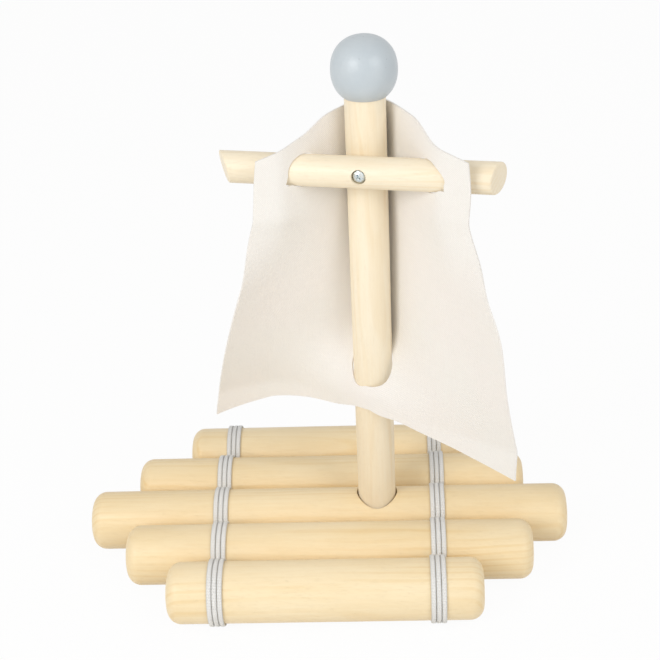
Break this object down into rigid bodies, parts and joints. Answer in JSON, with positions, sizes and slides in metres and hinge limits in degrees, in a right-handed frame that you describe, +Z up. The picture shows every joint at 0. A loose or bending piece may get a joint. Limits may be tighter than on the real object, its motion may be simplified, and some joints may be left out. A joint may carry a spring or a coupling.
{
  "type": "toy boat",
  "caption": "Wooden raft toy: parallel round logs lashed with cord, a turning mast with a ball top, a cross yard and a cloth sail.",
  "frame": {"origin": "on the surface that the raft stands on, below the middle of the longest log", "axes": "+X along the logs, +Y from the front log to the back log, +Z up along the mast"},
  "size_m": [0.231, 0.1529, 0.2535],
  "materials": {
    "log_wood": "sanded and clear coated, satin",
    "mast_wood": "sanded and clear coated, satin",
    "yard_wood": "sanded and clear coated, satin",
    "ball_paint": "blue-grey satin paint",
    "cord": "white braided flat cord",
    "sail_cloth": "fine plain weave, stiffened, matt",
    "zinc": "zinc plated"
  },
  "bodies": {
    "raft": {"log_back": "log_wood", "log_mid_back": "log_wood", "log_keel": "log_wood", "log_mid_front": "log_wood", "log_front": "log_wood", "lashing_left": "cord", "lashing_right": "cord", "lashing_knot_left": "cord", "lashing_knot_right": "cord"},
    "mast": {"mast": "mast_wood", "mast_ball": "ball_paint", "yard_screw": "zinc", "sail": "sail_cloth"},
    "yard": {"yard": "yard_wood"}
  },
  "joints": [
    {"name": "mast_turn", "type": "hinge", "parent": "raft", "child": "mast", "pos_m": [0.0241, 0, 0.02], "axis": [0, 0, 1], "continuous": true},
    {"name": "yard_pivot", "type": "hinge", "parent": "mast", "child": "yard", "pos_m": [0.02557, -0.00032, 0.19835], "axis": [0.2147, 0.9767, 0], "range_deg": [-4, 4]}
  ]
}
